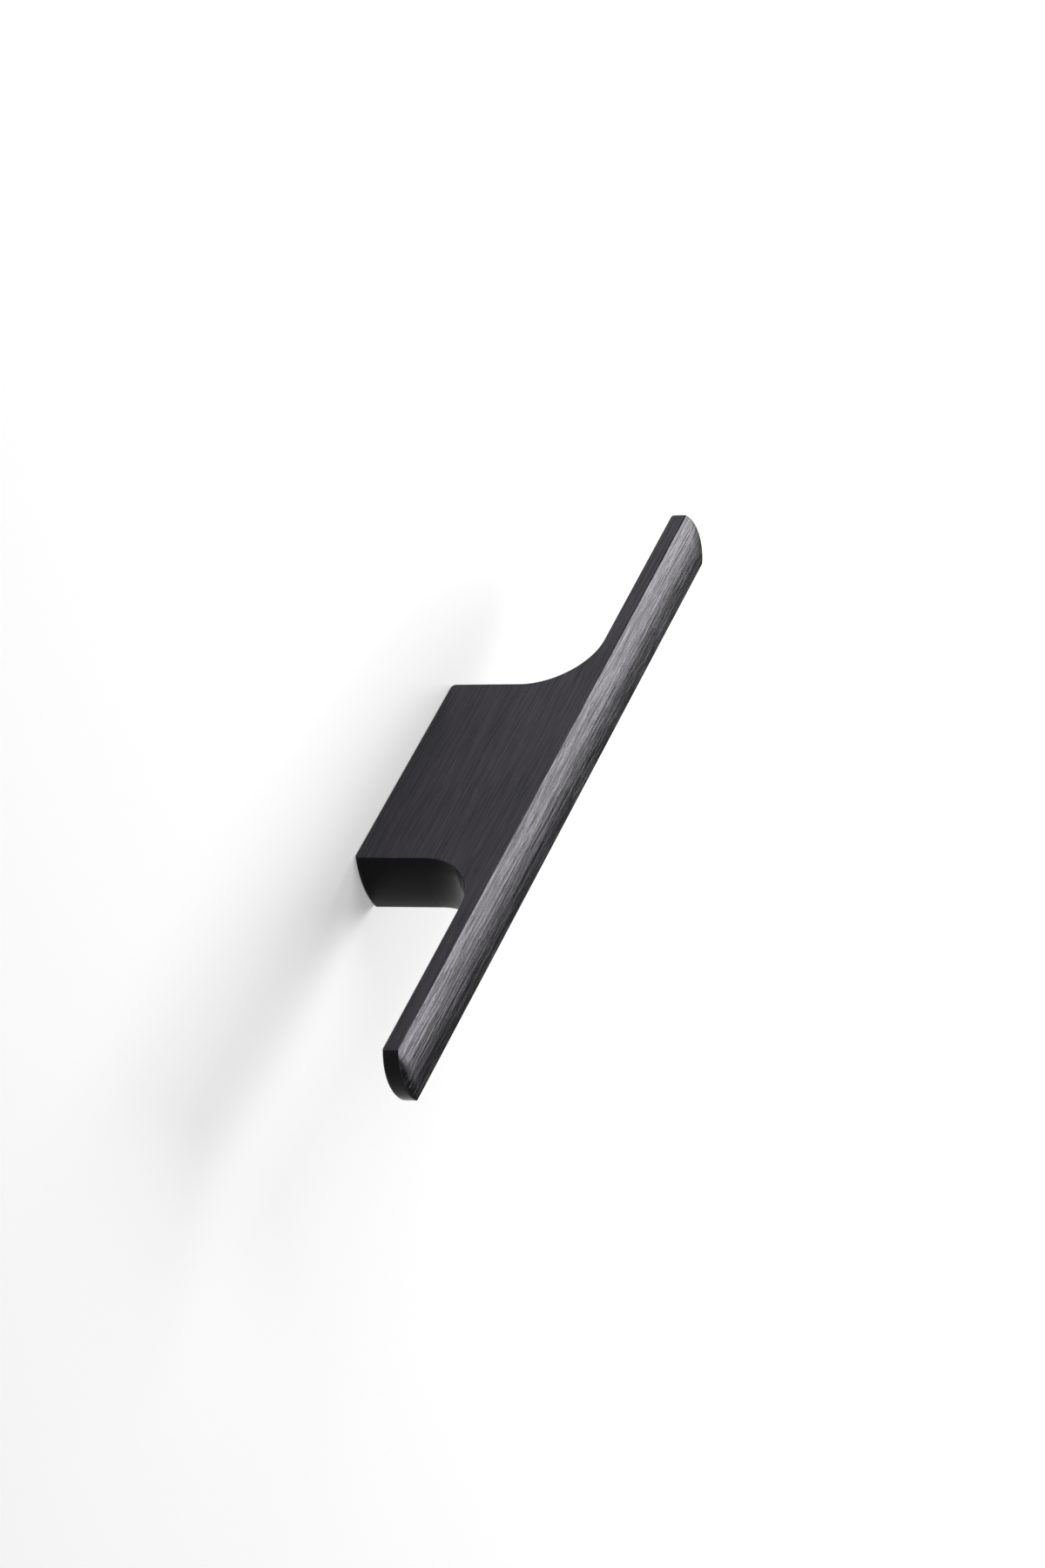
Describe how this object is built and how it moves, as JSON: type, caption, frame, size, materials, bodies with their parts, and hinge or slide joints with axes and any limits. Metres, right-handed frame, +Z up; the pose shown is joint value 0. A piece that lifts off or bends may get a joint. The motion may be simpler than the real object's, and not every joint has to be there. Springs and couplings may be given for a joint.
{
  "type": "cabinet knob",
  "caption": "Slim T-shaped cabinet knob in brushed black metal: a long bar with bowed ends, carried on a block foot that is screwed to the door or drawer front from behind.",
  "frame": {"origin": "centre of the foot's flat mounting face", "axes": "+X along the bar, +Y out of the mounting face into the cabinet front, +Z up from the flat underside to the flat top"},
  "size_m": [0.16, 0.0307, 0.012],
  "materials": {
    "black_anodised": "black anodised, brushed along the bar on the top, underside and front, satin on the bowed ends and foot sides"
  },
  "bodies": {
    "root": {"knob": "black_anodised"}
  },
  "joints": []
}
